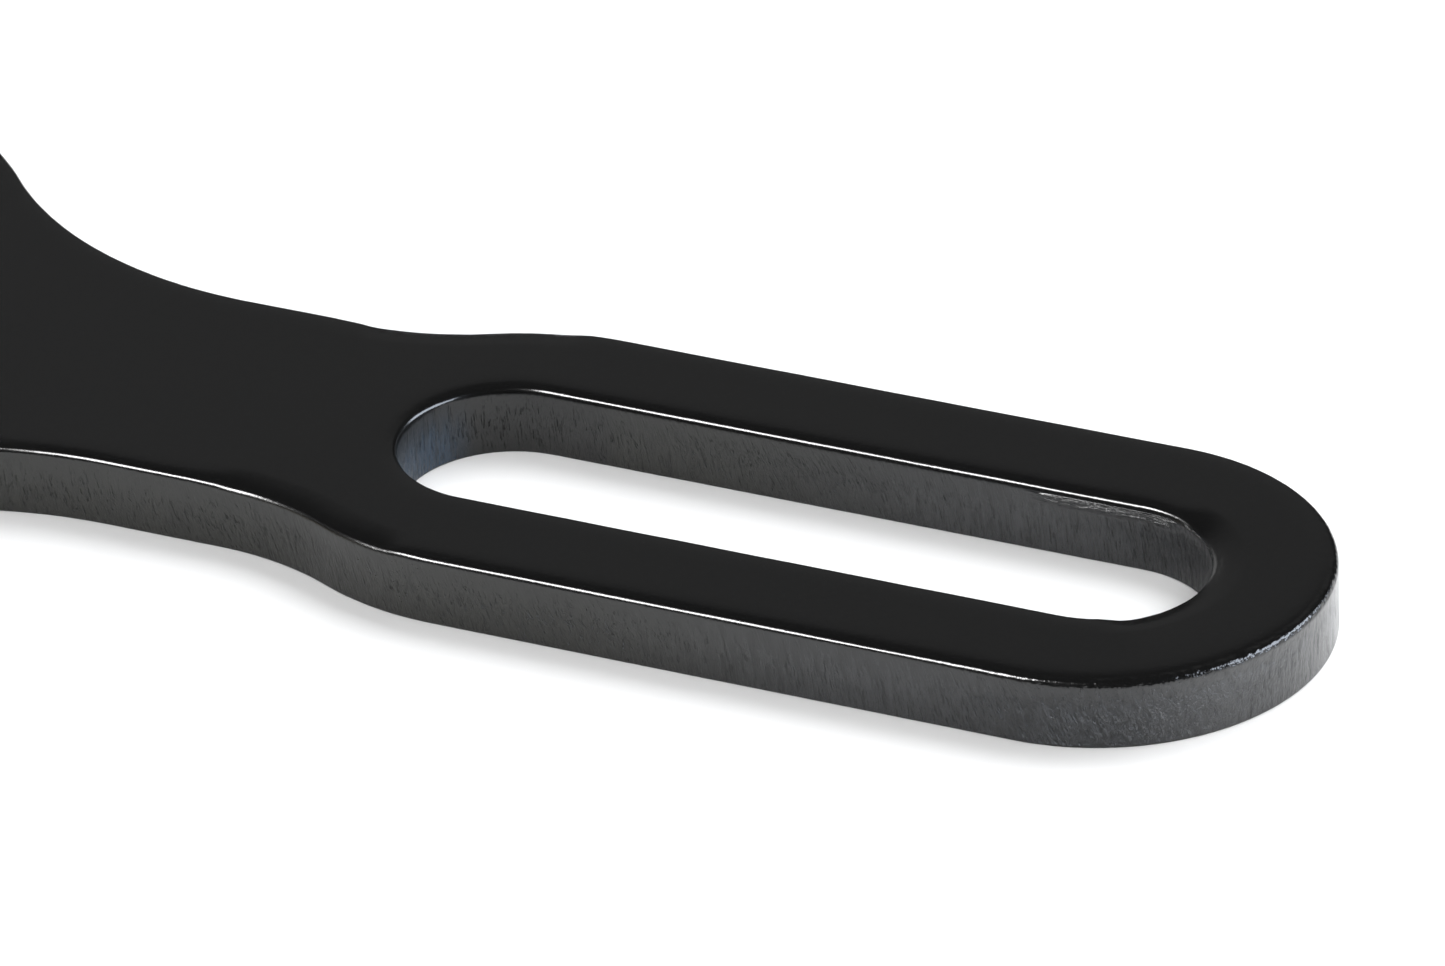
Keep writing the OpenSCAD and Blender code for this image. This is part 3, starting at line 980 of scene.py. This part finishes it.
def along(stroke, way):
    """The place and heading a way along one stroke."""
    _, _, place, heading, _, bend = stroke
    if not bend:
        return place + polar((0, 0), way, heading), heading
    radius = 1 / math.radians(bend)
    centre = polar(place, radius, heading + 90)
    return polar(centre, radius, heading - 90 + bend * way), heading + bend * way


route = lay_route()


def on_route(distance):
    stroke = next((s for s in route if distance <= s[1] + s[4]), route[-1])
    return along(stroke, distance - stroke[1])


def share_of(piece):
    """Where a piece of the strap starts and ends on the route."""
    own = [s for s in route if s[0] == piece]
    return own[0][1], own[-1][1] + own[-1][4]


strap_l = route[-1][1] + CRIMP
end, end_heading = on_route(strap_l)
print("strap of", round(strap_l, 1), "mm ends at", [round(c, 2) for c in end],
      "heading", round(end_heading, 1))

# %% [markdown]
# ## Weave
# Webbing is woven: its long yarns pass over and under cross yarns that hardly show. Each long
# yarn comes up as a row of grains, and neighbours are a quarter step apart, which draws the
# herringbone of heavy straps. At the two edges the cross yarns turn back in short loops. No
# operator makes that, so the band starts as a flat grid, and code places its vertices: across
# the grid round the band's section, along the grid along the route, and out or in by the weave.
# The height of each point in the weave is kept as an attribute, so that the material can paint shade into
# the hollows between the yarns.

# %% Weave
YARNS, YARN_SAMPLES, EDGE_SAMPLES = 18, 4, 8
WEAVE_STEP, EDGE_STEP, WEAVE_RISE, RING_STEP = 3.0, 1.5, 0.26, 0.34


def section():
    """Points round the band: (across, thickness, outward way, yarn, place in the yarn)."""
    edge_r = half_t - WEAVE_RISE / 2
    flat = strap_w / 2 - edge_r
    samples = YARNS * YARN_SAMPLES
    points = []
    for face in (1, -1):
        for k in range(samples):
            points.append((face * (flat - 2 * flat * k / samples), face * edge_r, face,
                           k // YARN_SAMPLES, (k % YARN_SAMPLES) / YARN_SAMPLES))
        for k in range(EDGE_SAMPLES):
            a = math.pi * k / EDGE_SAMPLES
            points.append((face * (-flat - edge_r * math.sin(a)), face * edge_r * math.cos(a),
                           face * math.cos(a), YARNS, k / EDGE_SAMPLES))
    return points + points[:1]


def weave_height(distance, yarn, share):
    """From 0 in a hollow to 1 on a crown. Round the edge, cross yarns turn back in short loops."""
    if yarn == YARNS:
        return 0.25 + 0.75 * abs(math.sin(math.pi * distance / EDGE_STEP))
    chevron = min(yarn, YARNS - 1 - yarn)
    wave = 0.5 + 0.5 * math.cos(math.tau * (distance / WEAVE_STEP + chevron / 4))
    return wave**0.45 * math.sin(math.pi * share) ** 0.6 if share > 0 else 0.0


def woven(name, piece):
    """One piece of the band as a closed woven tube."""
    start, stop = share_of(piece)
    rings = max(2, round((stop - start) / RING_STEP))
    around = section()
    sides = len(around) - 1
    nothing_selected()
    bpy.ops.mesh.primitive_grid_add(x_subdivisions=rings, y_subdivisions=sides, size=1, calc_uvs=True)
    obj = named(name)
    mesh = obj.data
    flat = np.zeros(len(mesh.vertices) * 3)
    mesh.vertices.foreach_get("co", flat)
    grid = np.rint((flat.reshape(-1, 3)[:, :2] + 0.5) * (rings, sides)).astype(int)
    distances = [start + (stop - start) * i / rings for i in range(rings + 1)]
    spots = [on_route(distance) for distance in distances]
    places, crowns = [], []
    for i, j in grid:
        centre, heading = spots[i]
        across, thick, out_thick, yarn, share = around[j]
        crown = weave_height(distances[i], yarn, share)
        side = polar((0, 0), thick + out_thick * WEAVE_RISE * (crown - 0.5), heading + 90)
        places.append((centre.x + side.x, centre.y + side.y, strap_low + strap_w / 2 + across))
        crowns.append(crown)
    mesh.vertices.foreach_set("co", (np.array(places) * MM).ravel())
    mesh.attributes.new("crown", "FLOAT", "POINT").data.foreach_set("value", crowns)
    uvs = np.zeros(len(mesh.loops) * 2)
    mesh.uv_layers.active.data.foreach_get("uv", uvs)
    uvs = uvs.reshape(-1, 2) * (stop - start, 2 * strap_w) + (start, 0)
    mesh.uv_layers.active.data.foreach_set("uv", uvs.ravel())
    edit(obj)
    weld(0.0005)
    pick(lambda e: e.is_boundary, "EDGE")
    bpy.ops.mesh.fill_holes(sides=0)
    face_out()
    done()
    return obj


def webbing(name):
    """Undyed heavy webbing. The UV map runs in millimetres along and round the band."""
    shader = Shader(name, Specular_IOR_Level=0.25, Sheen_Weight=0.25, Sheen_Roughness=0.5)
    uv = shader.node("ShaderNodeUVMap", {}, {}, 0)
    crown = shader.node("ShaderNodeAttribute", {"attribute_name": "crown"}, {}, "Fac")
    fibre = shader.noise(shader.stretch(uv, (1.6, 8.0, 1)), 1.0, 4.0, 0.7)
    shade = shader.noise(shader.stretch(uv, (0.02, 0.75, 1)), 1.0, 1.0)
    soil = shader.noise(shader.stretch(uv, (0.05, 0.09, 1)), 1.0, 3.0)
    light = shader.blend(shade * 0.5 + fibre * 1.6 - 0.55, (0.46, 0.39, 0.27, 1), (0.7, 0.63, 0.48, 1))
    # Painted shade: the hollows between the yarns are darkened by the weave's height.
    tone = shader.blend(shader.ramp(crown, 0.0, 0.65, 0.75, 0.0), light, (0.27, 0.22, 0.145, 1))
    tone = shader.blend(shader.ramp(soil, 0.52, 0.75) * 0.35, tone, (0.24, 0.2, 0.145, 1))
    return shader.finish(tone, 0.78 + fibre * 0.12, fibre, 0.14)


web = webbing("webbing")
strap = {}
for piece, body in (("strap_eye", "wrench"), ("strap_side_left", "wrench"), ("strap_front", "loop_front"),
                    ("strap_side_right", "wrench"), ("strap_entry", "wrench"), ("strap_tail_run", None),
                    ("strap_tail", "tail")):
    band = woven(piece.replace("strap", "web"), piece)
    strap[piece] = dress(band, web, "webbing", body, piece, angle=70)

# %% [markdown]
# ## The strap's moving pieces
# When the tail is pulled, the front of the loop comes towards the head, and the two straight sides get
# shorter as the band runs round the roller. Here the two sides get meshes of their own, and the tail run
# has its place baked into its mesh.

# %% Moving strap
for piece in ("strap_side_left", "strap_side_right"):
    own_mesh(strap[piece])
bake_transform(strap["strap_tail_run"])

# %% [markdown]
# ## Stitches
# The lap behind the eye is sewn through with heavy bonded thread, in a box with a cross in it.
# One stitch is a small sphere drawn out to a grain, with its two ends pressed down where the
# thread dives into the webbing. It is copied along the rows on both faces of the lap. The rows
# are planned on the flat lap, and `to_distance` gives the place on the route for each face.

# %% Stitches
STITCH_L, STITCH_D, STITCH_GAP, STITCH_DIP, STITCH_ENDS = 2.3, 0.6, 0.35, 0.16, 0.36
BOX_MARGIN, BOX_EDGE = 3.0, 3.5
lap_l = route[2][1]
pin_middle = route[4][1] + route[4][4] / 2


def one_stitch():
    nothing_selected()
    bpy.ops.mesh.primitive_uv_sphere_add(segments=8, ring_count=8, radius=0.5 * MM, enter_editmode=True,
                                         rotation=(0, math.pi / 2, 0))
    all_of_it()
    bpy.ops.transform.resize(value=(STITCH_L, STITCH_D, STITCH_D))
    pick(lambda v: abs(v.co.x) > STITCH_ENDS * STITCH_L * MM, "VERT")
    bpy.ops.transform.translate(value=(0, 0, -STITCH_DIP * MM))
    done()
    bpy.ops.object.transform_apply()
    return named("stitch")


def sew(name, to_distance):
    """Sews the box and its cross on one face of the lap."""
    near, far, low, high = BOX_MARGIN, lap_l - BOX_MARGIN + 1, BOX_EDGE, strap_w - BOX_EDGE
    a, b, c, d = (Vector(corner) for corner in ((near, low), (far, low), (far, high), (near, high)))
    stitch, copies = one_stitch(), []
    for first, last in ((a, b), (b, c), (c, d), (d, a), (a, c), (d, b)):
        way = last - first
        count = round(way.length / (STITCH_L + STITCH_GAP))
        for k in range(count):
            spot = first.lerp(last, (k + 0.5) / count)
            centre, heading = on_route(to_distance(spot.x))
            tilt = math.atan2(way.y, (to_distance(spot.x + 1) - to_distance(spot.x)) * way.x)
            outward = polar((0, 0), 1, heading + 90).to_3d()
            forward = polar((0, 0), 1, heading).to_3d()
            length = forward * math.cos(tilt) + Vector((0, 0, 1)) * math.sin(tilt)
            turn = Matrix((length, outward.cross(length), outward)).transposed().to_4x4()
            face = centre.to_3d() + outward * (half_t - 0.02) + Vector((0, 0, strap_low + spot.y))
            copy = stitch.copy()
            copy.data = stitch.data.copy()
            bpy.context.scene.collection.objects.link(copy)
            copy.data.transform(Matrix.Translation(face * MM) @ turn)
            copies.append(copy)
    bpy.data.objects.remove(stitch)
    only(copies[0])
    for copy in copies:
        copy.select_set(True)
    bpy.ops.object.join()
    return dress(named(name), sewing_thread, "webbing", "wrench", angle=80)


sewing_shader = Shader("sewing_thread", Specular_IOR_Level=0.4)
ply = sewing_shader.noise(sewing_shader.place(), 5.0, 2.0)
ply_tone = sewing_shader.blend(ply, (0.016, 0.015, 0.014, 1), (0.05, 0.045, 0.04, 1))
sewing_thread = sewing_shader.finish(ply_tone, 0.45 + ply * 0.2, ply, 0.08)
sew("stitches_outer", lambda way: way)
sew("stitches_inner", lambda way: 2 * pin_middle - way)

# %% [markdown]
# ## Tail clip
# A strip of sheet steel is folded over the end of the strap and crimped. The pen draws its U
# section, an extrude gives it the width of the strap, its four free corners are rounded, and
# three pockets are pressed into each side by a row of small insets, so that their walls slope.
# Solidify and Bevel give the sheet its thickness and its broken edges.

# %% Tail clip
CLIP_T, CLIP_BEND, CLIP_CORNER, POCKET_AREA = 0.8, 0.7, 1.5, 16
CLIP_ROWS = (0.1, 0.17, 0.13, 0.2, 0.13, 0.17, 0.1)
PRESSED = ((0.35, 0.0), (0.25, -0.08), (0.25, -0.12), (0.2, -0.08), (0.25, -0.03))
tail_end, tail_heading = on_route(route[-1][1])
sheet_r = half_t + CLIP_T / 2
clip = pen_down("clip", 0, sheet_r, strap_low)
bend_x, far_x = CRIMP + CLIP_T / 2 - CLIP_BEND, CRIMP + CLIP_T / 2
pocket_x = (CRIMP * 0.3, CRIMP * 0.65)
for x in (*pocket_x, bend_x):
    line_to(x, sheet_r)
arc_about(bend_x, sheet_r - CLIP_BEND, -90, step=0.2)
line_to(far_x, CLIP_BEND - sheet_r)
arc_about(bend_x, CLIP_BEND - sheet_r, -90, step=0.2)
for x in (*reversed(pocket_x), 0):
    line_to(x, -sheet_r)
all_of_it()
for share in CLIP_ROWS:
    bpy.ops.mesh.extrude_region_move(TRANSFORM_OT_translate={"value": (0, 0, share * strap_w * MM)})
face_out()


def is_corner(vertex):
    p = vertex.co / MM
    return p.x < 0.01 and min(p.z - strap_low, strap_high - p.z) < 0.01


def is_pocket(face):
    middle_x = face.calc_center_median().x / MM
    return pocket_x[0] < middle_x < pocket_x[1] and face.calc_area() / MM**2 > POCKET_AREA


print("corners:", pick(is_corner, "VERT"))
bpy.ops.mesh.bevel(affect="VERTICES", offset=CLIP_CORNER * MM, segments=5)
print("pockets:", pick(is_pocket))
for thickness, depth in PRESSED:
    bpy.ops.mesh.inset(thickness=thickness * MM, depth=depth * MM, use_individual=True)
done()
modify(clip, "SOLIDIFY", thickness=CLIP_T * MM, offset=0.0, use_even_offset=True)
modify(clip, "BEVEL", width=0.12 * MM, segments=2, limit_method="ANGLE", angle_limit=math.radians(50))
turn = Matrix.Rotation(math.radians(tail_heading), 4, "Z")
clip.data.transform(Matrix.Translation(tail_end.to_3d() * MM) @ turn)
dress(clip, zinc, "clip", "tail", "tail_clip", angle=30)

# %% [markdown]
# ## Studio
# The floor is a wide pale disc, lit until it is as pale as an endless sweep, so that only the soft
# contact shadow shows on it. Two wide panels, one behind the wrench and one in front, light the
# floor and the matt pieces and are kept out of reflections. The glossy black shows nothing but
# what it mirrors, so four panels are made for reflections alone: one draws the thin bright line
# along the rolled edges, a faint one lays a sheen on the flat faces, and two stand low at the
# left and the right. The world is hidden from reflections, which keeps the top face dark. The
# floor and the panels are large, so their places and sizes are in metres.

# %% Floor
nothing_selected()
bpy.ops.mesh.primitive_circle_add(vertices=96, radius=6.0, fill_type="NGON", location=(0, 0, 0))
floor = named("floor")
pale = Shader("pale_floor", Roughness=0.9, Specular_IOR_Level=0.0, Base_Color=(0.8, 0.8, 0.8, 1))
floor.data.materials.append(pale.material)
print("floor with", len(floor.data.vertices), "corners")

# %% Lights


def soft_light(name, place, size, watts, colour, glossy=True, diffuse=True):
    """A soft panel that faces the wrench. It can be kept out of reflections, or kept to them."""
    nothing_selected()
    bpy.ops.object.light_add(type="AREA", location=place)
    lamp = named(name)
    lamp.rotation_mode = "QUATERNION"
    lamp.rotation_quaternion = Vector(place).to_track_quat("Z", "Y")
    lamp.data.shape = "RECTANGLE"
    lamp.data.size, lamp.data.size_y = size
    lamp.data.energy, lamp.data.color = watts, colour
    lamp.visible_glossy, lamp.visible_diffuse = glossy, diffuse
    return lamp


soft_light("strip", (-0.4, -0.62, 0.675), (0.5, 0.36), 20, (1.0, 1.0, 1.0), diffuse=False)
soft_light("behind", (0.3, 1.1, 1.25), (2.4, 1.7), 56, (0.96, 0.98, 1.0), glossy=False)
soft_light("fill", (0.6, -0.9, 0.9), (0.6, 0.6), 14, (1.0, 1.0, 1.0), glossy=False)
soft_light("sheen", (-0.6, 0.84, 0.5), (1.0, 0.5), 0.22, (1.0, 1.0, 1.0), diffuse=False)
soft_light("left", (-0.85, 0.8, 0.3), (0.5, 0.5), 0.5, (1.0, 1.0, 1.0), diffuse=False)
soft_light("right", (0.95, 0.3, 0.4), (1.1, 0.5), 18, (0.8, 0.88, 1.0), diffuse=False)
world = bpy.data.worlds.new("studio")
bpy.context.scene.world = world
world.use_nodes = True
background = world.node_tree.nodes["Background"]
background.inputs["Color"].default_value = (1.0, 1.0, 1.0, 1)
background.inputs["Strength"].default_value = 0.4
world.cycles_visibility.glossy = False
bpy.context.scene.view_settings.view_transform = "Standard"

# %% [markdown]
# ## Camera
# A long lens looks down on the grip from its right, with the bar running away to the upper left
# and out of the frame. The place follows from the point it aims at, its bearing, its height
# above the horizon and its distance, and a small roll.

# %% Camera
AIM, AIM_DISTANCE = Vector((37.78, 9.42, 0)), 986.68
AZIMUTH, ELEVATION, ROLL, LENS = 24.698, 30.537, -2.142, 308.07
a, e = math.radians(AZIMUTH), math.radians(ELEVATION)
back = Vector((math.sin(a) * math.cos(e), -math.cos(a) * math.cos(e), math.sin(e)))
nothing_selected()
bpy.ops.object.camera_add(location=(AIM + back * AIM_DISTANCE) * MM)
camera = named("camera")
camera.rotation_mode = "QUATERNION"
camera.rotation_quaternion = back.to_track_quat("Z", "Y") @ Quaternion((0, 0, 1), math.radians(ROLL))
camera.data.lens, camera.data.sensor_width = LENS, 36
camera.data.clip_start, camera.data.clip_end = 0.01, 30
bpy.context.scene.camera = camera
print("camera at", [round(c, 3) for c in camera.location], "metres")
